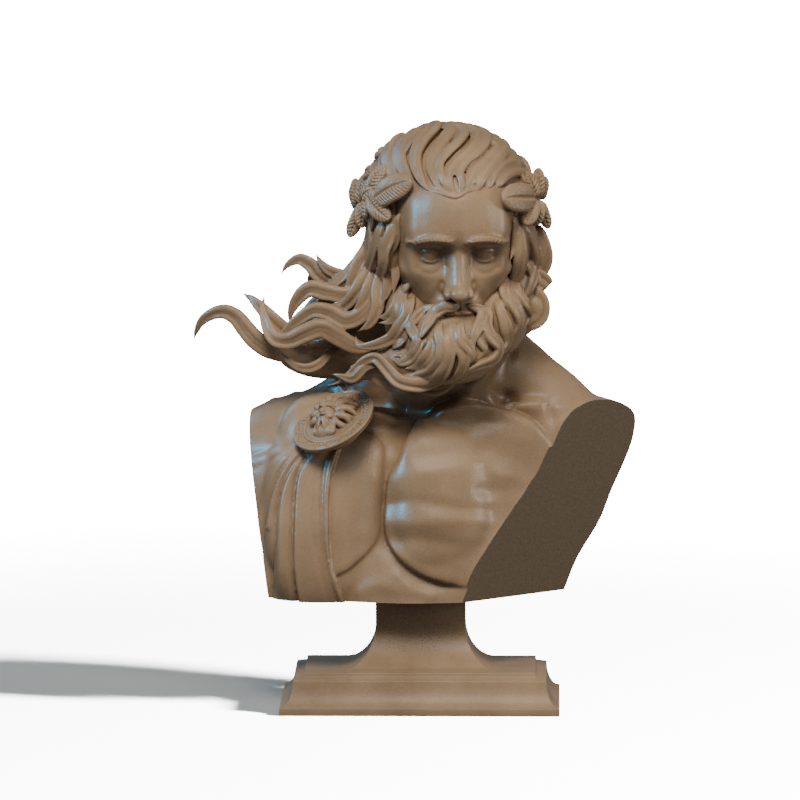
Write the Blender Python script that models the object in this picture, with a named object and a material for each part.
"""A bearded, laurel-crowned classical bust, cast in one piece, on a moulded socle.

The bust is free form. It is drawn on a sheet whose unit is one millimetre at the bust's real height,
so its pose, proportions and carving are shares of BUST_HEIGHT. The sheet shows the bust from the
front, slightly from above: x runs to the right, h runs up from the socle's foot, and a point takes its
depth from the form that it lies on, or gives it. The socle is built from its own sizes in metres.
"""

import math
from dataclasses import dataclass

import bmesh
import bpy
from mathutils import Matrix, Vector
from mathutils.bvhtree import BVHTree

# Driving sizes, in metres
BUST_HEIGHT = 0.238
SEAT_GAP = 0.0003
SOCLE_WIDTH = 0.140
SOCLE_DEPTH = 0.088
BAND_HEIGHT = 0.0038
COVE_HEIGHT = 0.0130
COVE_INSET = 0.0066
LEDGE_INSET = 0.00545
LEDGE_RISE = 0.00135
RISER_HEIGHT = 0.0020
NECK_WIDTH = 0.045
NECK_DEPTH = 0.026
NECK_HEIGHT = 0.0352
FLARE_HEIGHT = 0.0218
FLARE_SPREAD = 0.0180
COVE_STEPS = 8
SOCLE_HEIGHT = BAND_HEIGHT + COVE_HEIGHT + LEDGE_RISE + RISER_HEIGHT + NECK_HEIGHT

# The sheet, in sheet units
SHEET_HEIGHT = 238.0
SHEET_SEAT = 55.6
SHEET_FRONT = -44.0
VIEW_RISE = math.radians(6.5)
VIEW_TURN = math.radians(1.0)
UNIT = BUST_HEIGHT / SHEET_HEIGHT

# Fineness of the carved solid, in sheet units and triangles
VOXEL = 1.15
CORE_VOXEL = 2.0
BUST_TRIANGLES = 7800
RING_POINTS = 12
RINGS = 15

# The head: its height from chin to crown, its centre and how it is held, in sheet units and degrees
HEAD_HEIGHT = 100.0
HEAD_CENTRE = Vector((15.5, -15.0, 240.2))
HEAD_BOW = math.radians(15.0)
HEAD_YAW = math.radians(6.0)

# The flat cuts: a point on each, the heading it faces, and how far it leans outwards as it rises
ARM_CUT_TOP = 168.0
LEFT_CUT = (Vector((18.2, -35.0, SHEET_SEAT)), math.radians(-45.0), math.radians(12.0))
RIGHT_CUT = (Vector((-75.0, 0.0, SHEET_SEAT)), math.radians(175.0), math.radians(7.8))


def head_frame():
    """Gives the matrix from the head's own axes (right, back, up) to the sheet."""
    bow = Matrix.Rotation(HEAD_BOW, 4, "X")
    yaw = Matrix.Rotation(HEAD_YAW, 4, "Z")
    scale = Matrix.Scale(HEAD_HEIGHT / 100.0, 4)
    return Matrix.Translation(HEAD_CENTRE) @ yaw @ bow @ scale


HEAD = head_frame()


def drawn(x, h, y):
    """Gives the sheet's solid point that is seen at x, h and lies at depth y."""
    rise = (h - (y - SHEET_FRONT) * math.sin(VIEW_RISE)) / math.cos(VIEW_RISE)
    return Vector((x - y * math.tan(VIEW_TURN), y, rise))


def smooth_path(points, count):
    """Gives count points along a Catmull-Rom curve through the points."""
    padded = [2 * points[0] - points[1], *points, 2 * points[-1] - points[-2]]
    spans = len(points) - 1
    path = []
    for step in range(count):
        place = min(step * spans / (count - 1), spans - 1e-9)
        span = int(place)
        t = place - span
        before, start, end, after = padded[span:span + 4]
        path.append(0.5 * (2 * start + (end - before) * t
                           + (2 * before - 5 * start + 4 * end - after) * t * t
                           + (3 * start - before - 3 * end + after) * t ** 3))
    return path


def smooth_ring(points, count):
    """Gives count points along a closed Catmull-Rom curve through the points."""
    size = len(points)
    ring = []
    for step in range(count):
        span, t = divmod(step * size / count, 1.0)
        before, start, end, after = (points[(int(span) + k) % size] for k in (-1, 0, 1, 2))
        ring.append(0.5 * (2 * start + (end - before) * t
                           + (2 * before - 5 * start + 4 * end - after) * t * t
                           + (3 * start - before - 3 * end + after) * t ** 3))
    return ring


def add_sweep(mesh, rings):
    """Adds a closed tube to the mesh through rings of points, closed at both ends."""
    along = len(rings) + 1
    around = len(rings[0])
    made = bmesh.ops.create_grid(mesh, x_segments=along, y_segments=around, size=1.0)["verts"]
    ends = [sum(ring, Vector()) / around for ring in (rings[0], rings[-1])]
    for vert in made:
        i = round((vert.co.x + 1) / 2 * along)
        j = round((vert.co.y + 1) / 2 * around) % around
        if i == 0:
            vert.co = ends[0]
        elif i == along:
            vert.co = ends[1]
        else:
            vert.co = rings[i - 1][j]
    bmesh.ops.remove_doubles(mesh, verts=made, dist=1e-5)


def add_mass(mesh, centre, radii, turn=Matrix.Identity(4), frame=Matrix.Identity(4), square=2.0):
    """Adds an ellipsoid, squarer than round above 2, turned and in a frame of its own if need be."""
    made = bmesh.ops.create_icosphere(mesh, subdivisions=3, radius=1.0)["verts"]
    place = frame @ Matrix.Translation(centre) @ turn @ Matrix.Diagonal((*radii, 1.0))
    for vert in made:
        vert.co /= sum(abs(c) ** square for c in vert.co) ** (1 / square)
        vert.co = place @ vert.co


def add_limb(mesh, points, radii, flat=1.0, out=Vector((0, -1, 0))):
    """Adds a tapered round or flattened tube along the points."""
    path = smooth_path(points, RINGS)
    rings = []
    for i in range(len(path)):
        place = i * (len(radii) - 1) / (len(path) - 1)
        low = min(int(place), len(radii) - 2)
        radius = radii[low] + (radii[low + 1] - radii[low]) * (place - low)
        rings.append(section(path, i, out, radius, radius * flat))
    add_sweep(mesh, rings)


def section(path, i, out, half_width, half_height, strands=0, groove=0.0):
    """Gives one ring of a tube: an ellipse across the path, grooved along it on its outer side."""
    tangent = (path[min(i + 1, len(path) - 1)] - path[max(i - 1, 0)]).normalized()
    side = tangent.cross(out).normalized()
    normal = side.cross(tangent)
    ring = []
    for j in range(RING_POINTS):
        angle = 2 * math.pi * j / RING_POINTS
        across = math.cos(angle)
        above = math.sin(angle)
        cut = groove * (0.5 - 0.5 * math.cos(2 * math.pi * strands * (across + 1) / 2)) if strands else 0
        reach = 1 - cut * max(above, 0)
        ring.append(path[i] + side * across * half_width + normal * above * half_height * reach)
    return ring


def joined(mesh, name, voxel, relax):
    """Welds a mesh's overlapping shapes into one closed skin and returns it as a new bmesh."""
    bmesh.ops.recalc_face_normals(mesh, faces=mesh.faces)
    data = bpy.data.meshes.new(name)
    mesh.to_mesh(data)
    mesh.free()
    holder = bpy.data.objects.new(name, data)
    bpy.context.scene.collection.objects.link(holder)
    weld = holder.modifiers.new("Weld", "REMESH")
    weld.mode = "VOXEL"
    weld.voxel_size = voxel
    if relax:
        ease = holder.modifiers.new("Ease", "SMOOTH")
        ease.factor = 0.5
        ease.iterations = relax
    skin = evaluated(holder)
    bpy.data.objects.remove(holder)
    return skin


def evaluated(holder):
    """Gives an object's mesh with its modifiers as a new bmesh."""
    graph = bpy.context.evaluated_depsgraph_get()
    skin = bmesh.new()
    skin.from_object(holder, graph)
    return skin


@dataclass
class Form:
    """A form that carving is laid on: its skin, found from the sheet or from inside the head."""

    skin: BVHTree

    def seen(self, x, h, lift=0.0, y=None):
        """Gives the point and the outward way where the sheet's point x, h meets the form."""
        start = drawn(x, h, -150.0)
        way = (drawn(x, h, 0.0) - start).normalized()
        place, normal, _, _ = self.skin.ray_cast(start, way)
        if y is not None:
            return drawn(x, h, y - lift), Vector((0, -1, 0))
        if place is None:
            place, normal, _, _ = self.skin.find_nearest(drawn(x, h, HEAD_CENTRE.y))
        return place + normal * lift, normal

    def behind(self, x, z):
        """Gives the point and the outward way where x, z meets the form from behind."""
        place, normal, _, _ = self.skin.ray_cast(Vector((x, 150.0, z)), Vector((0, -1, 0)))
        return place, normal

    def around(self, centre, way, lift=0.0):
        """Gives the outermost point and outward way where a ray from the centre leaves the form."""
        start = centre + way.normalized() * 200.0
        place, normal, _, _ = self.skin.ray_cast(start, -way.normalized())
        return place + normal * lift, normal


@dataclass
class Lock:
    """A lock of hair from root to tip, as sheet points (x, h) or (x, h, y)."""

    points: tuple
    width: float
    lift: float = 0.0
    flat: float = 0.62
    root: float = 0.6

    def add(self, mesh, form):
        """Adds the lock, laid on the form where its points give no depth."""
        found = [form.seen(p[0], p[1], self.lift, p[2] if len(p) > 2 else None) for p in self.points]
        add_lock(mesh, found, self.width, self.flat, self.root)


def add_lock(mesh, found, width, flat, root):
    """Adds a tapered, grooved lock through found points with their outward ways."""
    path = smooth_path([place for place, _ in found], RINGS)
    ways = smooth_path([way.normalized() for _, way in found], RINGS)
    rings = []
    for i in range(RINGS):
        s = i / (RINGS - 1)
        swell = root + (1 - root) * min(1.0, s / 0.35)
        taper = 1 - max(0.0, (s - 0.4) / 0.6) ** 1.6
        half = max(0.5 * width * swell * taper, 0.35)
        rings.append(section(path, i, ways[i].normalized(), half, max(half * flat, 0.3), 2, 0.35))
    add_sweep(mesh, rings)


# Free locks blown to the left, and the hair at that side of the face
LEFT_LOCKS = (
    Lock(((-30, 185, 5), (-50, 180, 2), (-64, 181, -1), (-74, 183, -4), (-83, 189, -7), (-90, 197, -8),
          (-98, 202.6, -8), (-107, 200, -6), (-113, 192.4, -3), (-115, 186, 0)), 8.5),
    Lock(((-24, 183, -16), (-33, 185, -18), (-42, 190, -19), (-50, 194, -19), (-59, 191, -18),
          (-66, 188, -17), (-73, 189, -16), (-77, 196, -14), (-79, 204, -11), (-78, 211, -8)), 8.5),
    Lock(((-50, 185, -6), (-64, 190, -7), (-71, 196, -8), (-76, 202, -8), (-81, 204, -6),
          (-84, 208, -4), (-89, 211, -1)), 6.0),
    Lock(((-30, 218, -12), (-36, 211, -13), (-47, 212, -12), (-55, 214, -11), (-61, 210, -10),
          (-65, 203, -9), (-66, 195, -8)), 8.0),
    Lock(((-22, 214, -24), (-25, 206, -22), (-31, 200, -20), (-38, 198, -18), (-46, 202, -16),
          (-54, 203, -15), (-62, 198, -14), (-68, 193, -13), (-74, 187, -12)), 8.0),
    Lock(((-26, 222, 2), (-37, 218, 2), (-44, 217, 3), (-51, 221, 4), (-55, 226, 5), (-61, 229, 6),
          (-67, 226, 7), (-71, 220, 8)), 6.5),
    Lock(((-30, 221, 0), (-38, 221, 0), (-45, 223, 0), (-50, 227, 1), (-53, 232, 2)), 5.0),
    Lock(((-40, 213, 6), (-50, 218, 7), (-55, 220, 8), (-57, 216, 9)), 4.5),
    Lock(((-36, 184, -2), (-50, 178, -4), (-57, 176, -5), (-64, 178, -5), (-70, 182, -4)), 5.0),
    Lock(((-18, 240, -6), (-24, 235, -9), (-31, 227, -12), (-35, 218, -13), (-38, 209, -13)), 8.5),
    Lock(((-21, 231, -14), (-27, 221, -17), (-33, 212, -18), (-39, 205, -16), (-46, 206, -14)), 7.0),
    Lock(((-22, 226, -20), (-26, 215, -22), (-30, 206, -22), (-36, 199, -20)), 6.0),
    Lock(((-19, 226, -24), (-22, 214, -26), (-22, 205, -27), (-26, 196, -26), (-32, 192, -24)), 6.0),
    Lock(((-15, 236, -22), (-16, 224, -27), (-17, 214, -29), (-20, 204, -29)), 6.0),
    Lock(((-12, 242, -24), (-13, 230, -29), (-13, 220, -32), (-14, 210, -33)), 5.0),
)

# The beard, moustache and the curls at the right of the neck
BEARD_LOCKS = (
    Lock(((12, 195), (14, 189), (17, 182), (15, 175), (8, 170), (-1, 168), (-10, 170, -46),
          (-16, 175, -44), (-22, 180, -42), (-28, 178, -40), (-34, 173, -38), (-41, 167, -35),
          (-48, 165, -32)), 8.5, 1.5),
    Lock(((-20, 176, -40), (-28, 174, -40), (-34, 169, -39), (-40, 170, -38), (-45, 171, -36)), 4.5, 1.0),
    Lock(((10, 196), (8, 189), (10, 183), (9, 178), (4, 173), (-3, 171), (-10, 172)), 6.5, 1.0),
    Lock(((5, 188), (4, 182), (-1, 178), (-7, 174), (-13, 173)), 6.5, 0.5),
    Lock(((1, 187), (-1, 183), (-5, 178), (-12, 176)), 6.0, 0.5),
    Lock(((7, 205), (2, 203), (-4, 199), (-5, 193), (-4, 188), (-5, 182), (-9, 180), (-13, 181)), 6.0, 1.0),
    Lock(((-2, 210), (-5, 204), (-7, 198), (-10, 192), (-15, 189), (-22, 187, -36), (-29, 186, -34),
          (-33, 191, -32)), 7.0, 1.0),
    Lock(((-5, 216), (-8, 212), (-9, 205), (-10, 200), (-14, 197), (-22, 196, -33)), 6.0, 1.0),
    Lock(((-12, 212, -33), (-13, 205, -35), (-17, 200, -34), (-22, 199, -31)), 5.5),
    Lock(((14, 197), (16, 189), (19, 182), (22, 178)), 6.5, 0.8),
    Lock(((21, 196), (21, 187), (24, 181), (27, 177)), 6.5, 0.8),
    Lock(((27, 196), (27, 188), (29, 182), (32, 178)), 6.0, 0.5),
    Lock(((35, 206), (36, 198), (39, 192), (42, 186), (38, 181), (31, 176), (25, 174)), 7.5, 1.0),
    Lock(((31, 205), (31, 198), (31, 192), (34, 186), (34, 181), (30, 178), (26, 179)), 5.5, 1.2),
    Lock(((41, 217), (40, 211), (43, 205), (48, 199), (48, 194), (44, 190)), 7.0, 1.0),
    Lock(((46, 212), (47, 206), (50, 200), (51, 194), (46, 187)), 6.5, 0.5),
    Lock(((51, 216), (53, 208), (54, 203), (53, 198), (50, 192)), 6.5, 0.5),
    Lock(((48, 226), (47, 219), (49, 212), (50, 206)), 6.0, 0.5),
    Lock(((4, 172), (-4, 166), (-12, 163, -34), (-20, 162, -32), (-27, 164, -30)), 7.0),
    Lock(((16, 170), (8, 164), (-2, 161, -34), (-10, 160, -30)), 6.0),
    Lock(((24, 176), (18, 170), (10, 167), (0, 164)), 6.5),
)
CURL_LOCKS = (
    Lock(((46, 222, 0), (54, 226, -4), (61, 223, -6), (67, 217, -5), (64, 211, -2), (56, 210, 0)), 9.0),
    Lock(((50, 214, -6), (57, 211, -9), (63, 205, -9), (62, 199, -8), (56, 195, -9), (50, 191, -12)), 9.0),
    Lock(((52, 246, -4), (56, 238, -6), (59, 230, -5), (58, 224, -4)), 8.0),
    Lock(((48, 240, -14), (51, 232, -15), (53, 225, -14), (52, 217, -14)), 6.5),
)
MOUSTACHE_LOCKS = (
    Lock(((17, 204), (11, 203), (6, 199), (2, 193), (-1, 188)), 6.5, 2.2, 0.7, 0.7),
    Lock(((21, 204), (26, 202), (28, 197), (27, 191), (25, 184)), 6.5, 2.2, 0.7, 0.7),
)

# Hair swept back from the hairline
CROWN_LOCKS = (
    Lock(((-7, 266), (-9, 273), (-11, 280), (-12, 286)), 8.0, 1.0),
    Lock(((5, 260), (-1, 267), (-3, 277), (1, 287), (6, 294)), 8.0, 1.5),
    Lock(((9, 260), (4, 269), (6, 279), (11, 289), (15, 295)), 7.0, 1.5),
    Lock(((16, 258), (10, 265), (10, 274), (15, 282), (21, 289)), 7.0, 1.8),
    Lock(((20, 258), (14, 267), (18, 275), (26, 281), (31, 288)), 7.0, 1.5),
    Lock(((24, 261), (22, 267), (26, 276), (35, 284)), 6.5, 1.5),
    Lock(((29, 262), (29, 269), (35, 279), (41, 284)), 6.5, 1.5),
    Lock(((35, 264), (36, 272), (43, 279), (49, 279)), 7.5, 1.5),
    Lock(((40, 262), (43, 269), (49, 272), (55, 269)), 7.0, 1.0),
    Lock(((-14, 262), (-17, 270), (-18, 278), (-16, 283)), 8.0, 1.0),
    Lock(((-20, 260), (-24, 268), (-24, 275)), 8.0, 0.5),
)


@dataclass
class Leaf:
    """A laurel leaf from its foot to its tip, as sheet points, and its full width."""

    foot: tuple
    tip: tuple
    width: float
    lift: float = 4.0

    def add(self, mesh, form):
        """Adds the leaf, standing a little off the form."""
        start, start_way = form.seen(*self.foot[:2], self.lift, self.foot[2] if len(self.foot) > 2 else None)
        end, end_way = form.seen(*self.tip[:2], self.lift, self.tip[2] if len(self.tip) > 2 else None)
        add_leaf(mesh, start, end, (start_way + end_way).normalized(), self.width)


def add_leaf(mesh, start, end, out, width):
    """Adds a pointed, cupped leaf with a ridge down its middle."""
    middle = (start + end) / 2 + out * (end - start).length * 0.08
    path = smooth_path([start, middle, end], RINGS)
    rings = []
    for i in range(RINGS):
        s = i / (RINGS - 1)
        half = max(0.5 * width * math.sin(math.pi * min(1.0, 0.12 + 0.88 * s) ** 1.1) ** 0.75, 0.6)
        rings.append(section(path, i, out, half, 1.3 + 0.08 * half, 1, -0.25))
    add_sweep(mesh, rings)


LEFT_LEAVES = (
    Leaf((-22, 261), (-2, 265), 14.0, 5.0),
    Leaf((-26, 258), (-13, 249), 8.5, 5.0),
    Leaf((-28, 256, -14), (-21, 246, -22), 8.0, 1.0),
    Leaf((-31, 254, -10), (-30, 244, -16), 7.0, 1.0),
    Leaf((-30, 249, -6), (-38, 239, -8), 7.0, 0.0),
    Leaf((-24, 259), (-15, 274), 8.0, 4.0),
    Leaf((-29, 258, -12), (-22, 272, -8), 8.0, 2.0),
    Leaf((-31, 257, -6), (-27, 272, 2), 7.0, 1.0),
    Leaf((-33, 256, -2), (-33, 269, 4), 7.0, 0.0),
    Leaf((-34, 253, 2), (-36, 265, 8), 6.5, 0.0),
)
RIGHT_LEAVES = (
    Leaf((55, 260), (37, 258), 15.0, 4.5),
    Leaf((57, 258, -14), (49, 245, -20), 8.5, 1.0),
    Leaf((59, 257, -10), (58, 245, -14), 8.0, 0.0),
    Leaf((60, 256, -4), (65, 245, -4), 7.0, 0.0),
    Leaf((58, 260, -12), (49, 271, -12), 8.0, 0.0),
    Leaf((60, 260, -8), (57, 272, -6), 7.5, 0.0),
    Leaf((60, 260, -2), (61, 275, 2), 7.0, 0.0),
)

# The cloak's folds on the chest and shoulder: sheet points, half width and half height
FOLDS = (
    (((-38, 136), (-46, 115), (-49, 98), (-47, 75), (-38, 55)), 2.6, 2.4),
    (((-48, 138), (-54, 118), (-57, 98), (-56, 78), (-50, 55)), 7.0, 2.6),
    (((-55, 136), (-63, 115), (-66, 95), (-66, 75), (-62, 55)), 3.4, 2.6),
    (((-59, 134), (-68, 118), (-73, 98), (-74, 75), (-70, 55)), 3.6, 2.6),
    (((-60, 136), (-72, 119), (-79, 98), (-80, 78)), 3.6, 2.4),
    (((-60, 140), (-72, 134), (-84, 124)), 4.6, 2.4),
    (((-62, 146), (-74, 145), (-86, 139)), 4.6, 2.4),
    (((-58, 153), (-70, 155), (-84, 149)), 5.0, 2.4),
)
BACK_FOLDS = 6

# The torso's plans at rising heights, each from the front of the left arm's cut round by the chest's
# middle and the right shoulder to the back, and out past both cuts
TORSO_AROUND = 60
TORSO_ALONG = 30
TORSO_PLANS = (
    (44, ((62, -26), (20, -31), (5, -34), (-20, -33), (-40, -27), (-62, -22), (-80, -2), (-70, 28),
          (-38, 40), (0, 38), (34, 38), (68, 16))),
    (57, ((65, -24), (22, -32), (5, -34), (-20, -33), (-40, -27), (-64, -22), (-84, -2), (-74, 30),
          (-38, 44), (0, 41), (36, 43), (73, 19))),
    (72, ((72, -22), (27, -31), (8, -34), (-16, -33), (-42, -27), (-68, -19), (-88, 0), (-80, 32),
          (-42, 48), (0, 43), (42, 47), (79, 21))),
    (90, ((84, -17), (38, -25), (14, -32), (-20, -30), (-48, -28), (-72, -16), (-92, 2), (-85, 36),
          (-46, 53), (0, 45), (48, 53), (90, 27))),
    (105, ((93, -13), (49, -19), (18, -31), (-20, -29), (-50, -28), (-74, -15), (-94, 4), (-88, 38),
           (-48, 56), (0, 46), (52, 56), (96, 28))),
    (120, ((101, -9), (60, -13), (20, -28), (-16, -27), (-50, -26), (-75, -13), (-96, 6), (-90, 40),
           (-48, 57), (1, 46), (55, 56), (103, 30))),
    (132, ((105, -7), (65, -11), (22, -24), (-10, -22), (-48, -22), (-74, -9), (-96, 10), (-90, 40),
           (-48, 55), (2, 43), (55, 53), (107, 31))),
    (144, ((107, -3), (72, -8), (30, -16), (0, -10), (-45, -14), (-69, -2), (-85, 14), (-80, 36),
           (-46, 48), (4, 40), (54, 48), (108, 28))),
    (151, ((96, 4), (80, -2), (45, -4), (8, -2), (-40, -2), (-60, 6), (-72, 16), (-67, 29),
           (-44, 38), (6, 36), (52, 42), (98, 22))),
    (156, ((82, 10), (70, 7), (50, 6), (15, 6), (-32, 10), (-46, 14), (-54, 18), (-51, 24),
           (-40, 28), (8, 32), (50, 32), (80, 22))),
)

# The neck, the muscles from neck to shoulder, the collar bones and the tendon: points and radii
NECK_LIMBS = (
    (((12, 10, 134), (15, 10, 160), (16, 4, 190), (17, -2, 220)), (30, 31, 29, 27)),
    (((16, 20, 192), (46, 17, 164), (68, 14, 150), (86, 12, 139)), (20, 21, 18, 13)),
    (((14, 20, 190), (-20, 20, 159), (-48, 20, 144), (-72, 18, 138)), (20, 18, 14, 11)),
    (((5, -11, 145), (28, -12, 149), (54, -6, 150), (76, 0, 149)), (5, 5, 5, 5)),
    (((-5, -11, 145), (-28, -10, 148), (-56, 2, 149)), (5, 5, 5)),
    (((6, -10, 146), (20, -16, 160), (40, -16, 184)), (4.5, 7, 8)),
)

# The rows of hair over the crown and down the back: first and last tilt from the crown, count, width
HAIR_ROWS = (
    (16, 50, 9, 9.0),
    (40, 78, 12, 9.0),
    (66, 104, 13, 9.0),
    (92, 128, 12, 9.5),
    (116, 146, 10, 9.5),
)
HAIR_CENTRE = Vector((0, 8, 8))

BROOCH_CENTRE = (-44.0, 148.0)
BROOCH_RADIUS = 21.0
BROOCH_THICKNESS = 2.6
BROOCH_FACING = Vector((-0.31, -0.42, 0.85)).normalized()


def head_core():
    """Builds the head with its plain face, in the head's own axes, a hundred units high."""
    mesh = bmesh.new()
    plain = Matrix.Identity(4)
    add_mass(mesh, (0, 5, 14), (34, 41, 36), plain, HEAD)
    add_mass(mesh, (0, -10, -2), (30, 29, 32), plain, HEAD)
    add_mass(mesh, (0, -16, -28), (21, 24, 23), plain, HEAD)
    add_mass(mesh, (0, -24, 22), (27, 15, 17), plain, HEAD)
    for side in (-1, 1):
        add_mass(mesh, (side * 11, -32, 9.5), (13, 7, 4.5), plain, HEAD)
        add_mass(mesh, (side * 20, -25, -9), (10, 11, 9), plain, HEAD)
        add_mass(mesh, (side * 13.5, -31.5, 1.5), (7.5, 6.5, 5.5), plain, HEAD)
        add_mass(mesh, (side * 5.5, -41.5, -18.5), (3.6, 5, 3.8), plain, HEAD)
    add_mass(mesh, (0, -35, -30), (13, 9.5, 6), plain, HEAD)
    add_mass(mesh, (0, -35, -43), (11, 8, 7), plain, HEAD)
    bridge = [HEAD @ Vector(p) for p in ((0, -33, 8), (0, -39.5, 1), (0, -45, -9), (0, -48, -16.5))]
    add_limb(mesh, bridge, (5.5, 4.3, 4.8, 5.0))
    return mesh


def hair_core(mesh):
    """Adds the masses under the hair and beard to the mesh."""
    plain = Matrix.Identity(4)
    add_mass(mesh, (0, 12, 12), (39.5, 41, 37), plain, HEAD)
    for side in (-1, 1):
        add_mass(mesh, (side * 31, 4, -2), (9, 24, 32), plain, HEAD)
    add_mass(mesh, (16, 6, 222), (38, 32, 38))
    add_mass(mesh, (41, 0, 213), (18, 22, 24))
    add_mass(mesh, (-12, 4, 216), (20, 22, 28))
    add_limb(mesh, [Vector(p) for p in ((0, 14, 212), (-28, 8, 199), (-48, 6, 187), (-64, 3, 182))],
             (22, 19, 17, 8))
    add_mass(mesh, (-47, 5, 179), (26, 10, 14.5))


def beard_core(mesh):
    """Adds the masses under the beard to the mesh."""
    add_mass(mesh, (16, -36, 186), (25, 20, 20))
    add_mass(mesh, (2, -32, 177), (22, 16, 13))
    add_mass(mesh, (-4, -24, 198), (14, 19, 20))
    add_mass(mesh, (38, -21, 199), (16, 20, 21))
    add_limb(mesh, [Vector(p) for p in ((2, -32, 174), (-16, -32, 175), (-34, -30, 171))], (12, 9, 3.5))


def torso_core():
    """Builds the neck, chest, shoulders and back."""
    mesh = bmesh.new()
    outlines = [smooth_ring([Vector((x, y, height)) for x, y in plan], TORSO_AROUND)
                for height, plan in TORSO_PLANS]
    columns = [smooth_path(list(column), TORSO_ALONG) for column in zip(*outlines)]
    add_sweep(mesh, [list(ring) for ring in zip(*columns)])
    lean = Matrix.Rotation(math.radians(-10), 4, "X")
    back = Matrix.Rotation(math.radians(16), 4, "Z")
    add_mass(mesh, (8, -8, 106), (29, 29, 41), back @ lean, square=2.6)
    add_mass(mesh, (-49, -6, 110), (28, 27, 40), lean, square=2.4)
    add_mass(mesh, (-4, -10, 50), (30, 26, 24))
    add_mass(mesh, (8, 30, 146), (36, 15, 36))
    for points, radii in NECK_LIMBS:
        add_limb(mesh, [Vector(point) for point in points], radii)
    return mesh


def cloak_folds(mesh, chest):
    """Adds the folds that fan from the brooch over the chest and shoulder, and down the back."""
    for points, half_width, half_height in FOLDS:
        add_fold(mesh, [chest.seen(x, h) for x, h in points], half_width, half_height)
    for step in range(BACK_FOLDS):
        share = step / (BACK_FOLDS - 1)
        top = -72 + 32 * share
        foot = -70 + 120 * share
        way = [(top, 146), (top * 0.75 + foot * 0.25, 122), (top * 0.4 + foot * 0.6, 88), (foot, 54)]
        add_fold(mesh, [chest.behind(x, z) for x, z in way], 5.5, 2.8)


def add_fold(mesh, found, half_width, half_height):
    """Adds one rounded fold of cloth through found points with their outward ways."""
    path = smooth_path([place for place, _ in found], RINGS)
    ways = smooth_path([way for _, way in found], RINGS)
    rings = [section(path, i, ways[i].normalized(), half_width, half_height) for i in range(RINGS)]
    add_sweep(mesh, rings)


def brooch(mesh, chest):
    """Adds the round brooch that pins the cloak: a disc, its rim and a raised head."""
    place, _ = chest.seen(*BROOCH_CENTRE)
    out = BROOCH_FACING
    turn = out.to_track_quat("Z", "Y").to_matrix().to_4x4()
    centre = place + out * BROOCH_THICKNESS
    disc = Matrix.Translation(centre) @ turn
    bmesh.ops.create_cone(mesh, cap_ends=True, segments=40, radius1=BROOCH_RADIUS,
                          radius2=BROOCH_RADIUS * 0.97, depth=BROOCH_THICKNESS * 2, matrix=disc)
    top = disc @ Matrix.Translation((0, 0, BROOCH_THICKNESS))
    bmesh.ops.create_icosphere(mesh, subdivisions=2, radius=1.0,
                               matrix=top @ Matrix.Diagonal((7.5, 9.5, 4.0, 1.0)))
    for step in range(14):
        angle = 2 * math.pi * step / 14
        tuft = top @ Matrix.Rotation(angle, 4, "Z") @ Matrix.Translation((9.5, 0, 0))
        bmesh.ops.create_icosphere(mesh, subdivisions=2, radius=1.0,
                                   matrix=tuft @ Matrix.Diagonal((4.5, 1.6, 2.0, 1.0)))


def back_locks(mesh, form):
    """Adds rows of wavy locks over the crown and down the back, drawn to the left like the rest."""
    centre = HEAD @ HAIR_CENTRE
    for row, (first, last, count, width) in enumerate(HAIR_ROWS):
        for step in range(count):
            azimuth = -18 + 216 * (step + 0.5 * (row % 2)) / count
            found = []
            for k in range(5):
                tilt = math.radians(first + (last - first) * k / 4)
                turn = math.radians(azimuth + 7 * math.sin(1.5 * k + row) + 2.5 * k)
                way = Vector((math.sin(tilt) * math.cos(turn), math.sin(tilt) * math.sin(turn),
                              math.cos(tilt)))
                found.append(form.around(centre, HEAD.to_3x3() @ way, 0.4))
            add_lock(mesh, found, width, 0.5, 0.6)


def back_leaves(mesh, form):
    """Adds the wreath's leaves round the back of the head, in pairs along its twig."""
    for step in range(9):
        angle = math.radians(5 + 170 * step / 8)
        rise = 14 + 14 * math.sin(angle)
        for spread in (-7, 7):
            ends = []
            for turn, height in ((0, 0), (11, spread)):
                way = Vector((math.cos(angle + math.radians(turn)), math.sin(angle + math.radians(turn)), 0))
                ends.append(form.around(HEAD @ Vector((0, 4, rise + height)), way, 3.5))
            add_leaf(mesh, ends[0][0], ends[1][0], (ends[0][1] + ends[1][1]).normalized(), 8.0)


def cut_flat(mesh, place, facing, below=math.inf):
    """Cuts the mesh flat at a plane, below a height, and closes the cut."""
    faces = [face for face in mesh.faces if face.calc_center_median().z < below]
    edges = {edge for face in faces for edge in face.edges}
    geometry = [*{vert for edge in edges for vert in edge.verts}, *edges, *faces]
    bmesh.ops.bisect_plane(mesh, geom=geometry, plane_co=place, plane_no=facing, clear_outer=True)
    rim = [edge for edge in mesh.edges if edge.is_boundary]
    bmesh.ops.holes_fill(mesh, edges=rim, sides=0)
    bmesh.ops.triangulate(mesh, faces=[face for face in mesh.faces if len(face.verts) > 4])


def cut_arm(mesh, place, heading, lean):
    """Cuts an arm off flat: the cut faces outwards along its heading and a little down."""
    level = Vector((math.cos(heading), math.sin(heading), 0))
    cut_flat(mesh, place, level * math.cos(lean) - Vector((0, 0, math.sin(lean))), ARM_CUT_TOP)


def keep_largest(mesh):
    """Deletes every loose shell but the largest, such as the wall of a sealed hollow."""
    seen = set()
    shells = []
    for start in mesh.verts:
        if start in seen:
            continue
        seen.add(start)
        shell = [start]
        for vert in shell:
            for edge in vert.link_edges:
                other = edge.other_vert(vert)
                if other not in seen:
                    seen.add(other)
                    shell.append(other)
        shells.append(shell)
    shells.sort(key=len)
    spare = [vert for shell in shells[:-1] for vert in shell]
    bmesh.ops.delete(mesh, geom=spare, context="VERTS")


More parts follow.
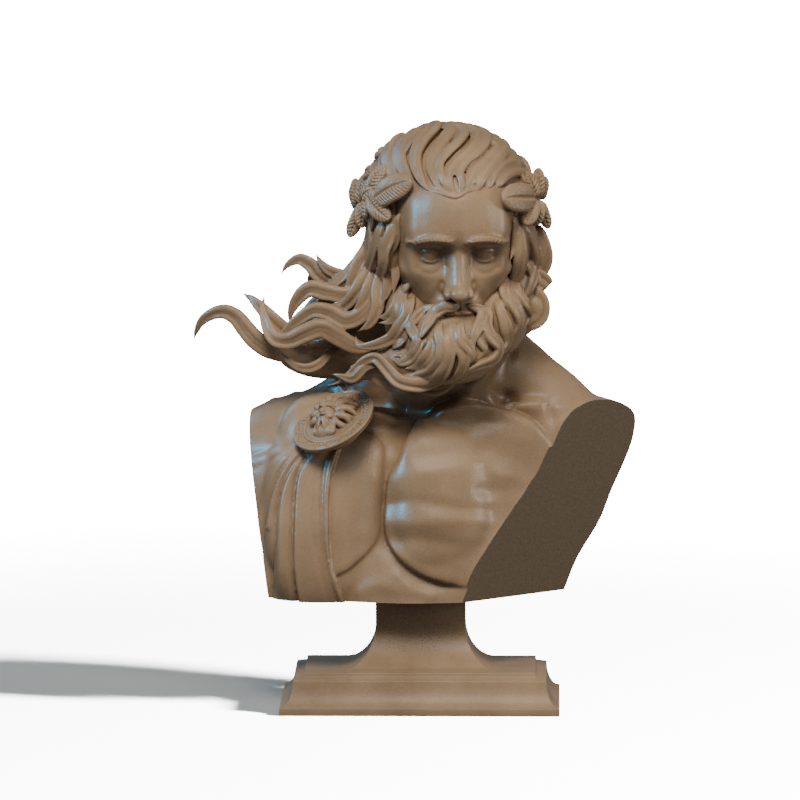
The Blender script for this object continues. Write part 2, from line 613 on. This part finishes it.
def finish_for(name, colour, roughness):
    """Gives a node its own plain material."""
    finish = bpy.data.materials.new(name)
    finish.use_nodes = True
    shader = finish.node_tree.nodes["Principled BSDF"]
    shader.inputs["Base Color"].default_value = (*colour, 1.0)
    shader.inputs["Roughness"].default_value = roughness
    shader.inputs["Metallic"].default_value = 0.0
    return finish


def add_node(name, mesh, colour, roughness):
    """Turns a bmesh into a named object with its material."""
    data = bpy.data.meshes.new(name)
    mesh.to_mesh(data)
    mesh.free()
    data.materials.append(finish_for(name, colour, roughness))
    node = bpy.data.objects.new(name, data)
    bpy.context.scene.collection.objects.link(node)
    return node


def skin_of(mesh):
    """Gives a Form from a bmesh."""
    return Form(BVHTree.FromBMesh(mesh))


def merge(target, source):
    """Adds the source mesh's shapes to the target mesh."""
    data = bpy.data.meshes.new("merge")
    source.to_mesh(data)
    target.from_mesh(data)
    bpy.data.meshes.remove(data)


def make_bust():
    """Models the bust on the sheet, then gives it its real size on the socle's seat."""
    chest_skin = joined(torso_core(), "chest", CORE_VOXEL, 12)
    chest = skin_of(chest_skin)
    head_skin = joined(head_core(), "head", 1.0, 4)
    under_hair = bmesh.new()
    merge(under_hair, head_skin)
    hair_core(under_hair)
    hair_skin = joined(under_hair, "hair", CORE_VOXEL, 6)
    under_beard = bmesh.new()
    merge(under_beard, head_skin)
    beard_core(under_beard)
    beard_skin = joined(under_beard, "beard", CORE_VOXEL, 4)
    hair = skin_of(hair_skin)
    beard = skin_of(beard_skin)

    whole = bmesh.new()
    for skin in (chest_skin, hair_skin, beard_skin):
        merge(whole, skin)
    for lock in LEFT_LOCKS + CROWN_LOCKS + CURL_LOCKS:
        lock.add(whole, hair)
    for lock in BEARD_LOCKS + MOUSTACHE_LOCKS:
        lock.add(whole, beard)
    for leaf in LEFT_LEAVES + RIGHT_LEAVES:
        leaf.add(whole, hair)
    back_locks(whole, hair)
    back_leaves(whole, hair)
    cloak_folds(whole, chest)
    brooch(whole, chest)

    skin = joined(whole, "whole", VOXEL, 1)
    keep_largest(skin)
    skin = thinned(skin, BUST_TRIANGLES)
    cut_arm(skin, *LEFT_CUT)
    cut_arm(skin, *RIGHT_CUT)
    cut_flat(skin, Vector((0, 0, SHEET_SEAT)), Vector((0, 0, -1)))
    keep_largest(skin)
    seat = Matrix.Translation((0, 0, SOCLE_HEIGHT + SEAT_GAP))
    drop = Matrix.Translation((0, 0, -SHEET_SEAT))
    skin.transform(seat @ Matrix.Scale(UNIT, 4) @ drop)
    return add_node("bust", skin, (0.30, 0.20, 0.13), 0.45)


def thinned(mesh, triangles):
    """Gives the mesh with about so many triangles, the flat places thinned first."""
    data = bpy.data.meshes.new("thin")
    mesh.to_mesh(data)
    mesh.free()
    holder = bpy.data.objects.new("thin", data)
    bpy.context.scene.collection.objects.link(holder)
    thin = holder.modifiers.new("Thin", "DECIMATE")
    thin.ratio = triangles / (2 * len(data.polygons))
    thin.use_collapse_triangulate = True
    skin = evaluated(holder)
    bpy.data.objects.remove(holder)
    return skin


def quarter(count):
    """Gives the angles of a quarter turn in equal steps, both ends included."""
    return [math.pi / 2 * step / count for step in range(count + 1)]


def socle_profile():
    """Gives the socle's outline from its foot to its seat, as (inset from the band, height)."""
    points = [(0.0, 0.0), (0.0, BAND_HEIGHT)]
    for angle in quarter(COVE_STEPS)[1:]:
        points.append((COVE_INSET * math.sin(angle), BAND_HEIGHT + COVE_HEIGHT * (1 - math.cos(angle))))
    ledge = BAND_HEIGHT + COVE_HEIGHT + LEDGE_RISE
    points.append((COVE_INSET + LEDGE_INSET, ledge))
    points.append((COVE_INSET + LEDGE_INSET, ledge + RISER_HEIGHT))
    return points


def make_socle():
    """Models the socle: mitred mouldings under a neck that flares into them."""
    half_width = SOCLE_WIDTH / 2
    half_depth = SOCLE_DEPTH / 2
    rings = [(half_width - inset, half_depth - inset, height) for inset, height in socle_profile()]
    tier_width, tier_depth, tier_height = rings[-1]
    spread = min(FLARE_SPREAD, tier_width - NECK_WIDTH / 2, tier_depth - NECK_DEPTH / 2)
    for angle in quarter(8):
        out = spread * (1 - math.sin(angle))
        height = tier_height + FLARE_HEIGHT * (1 - math.cos(angle))
        rings.append((NECK_WIDTH / 2 + out, NECK_DEPTH / 2 + out, height))
    rings.append((NECK_WIDTH / 2, NECK_DEPTH / 2, SOCLE_HEIGHT))
    mesh = bmesh.new()
    foot = bmesh.ops.create_grid(mesh, x_segments=1, y_segments=1, size=1.0)["verts"]
    place_rectangle(foot, *rings[0])
    face = mesh.faces[:][0]
    for ring in rings[1:]:
        made = bmesh.ops.extrude_discrete_faces(mesh, faces=[face])["faces"]
        face = made[0]
        place_rectangle(face.verts, *ring)
    edges = [edge for edge in mesh.edges if edge.is_boundary]
    bmesh.ops.contextual_create(mesh, geom=edges)
    bmesh.ops.recalc_face_normals(mesh, faces=mesh.faces)
    return add_node("socle", mesh, (0.30, 0.20, 0.13), 0.5)


def place_rectangle(verts, half_width, half_depth, height):
    """Moves four vertices to a rectangle's corners, each to its own side."""
    for vert in verts:
        vert.co = Vector((math.copysign(half_width, vert.co.x), math.copysign(half_depth, vert.co.y), height))


def main():
    """Clears the scene and models the socle and the bust."""
    for thing in list(bpy.data.objects):
        bpy.data.objects.remove(thing)
    make_socle()
    make_bust()


main()
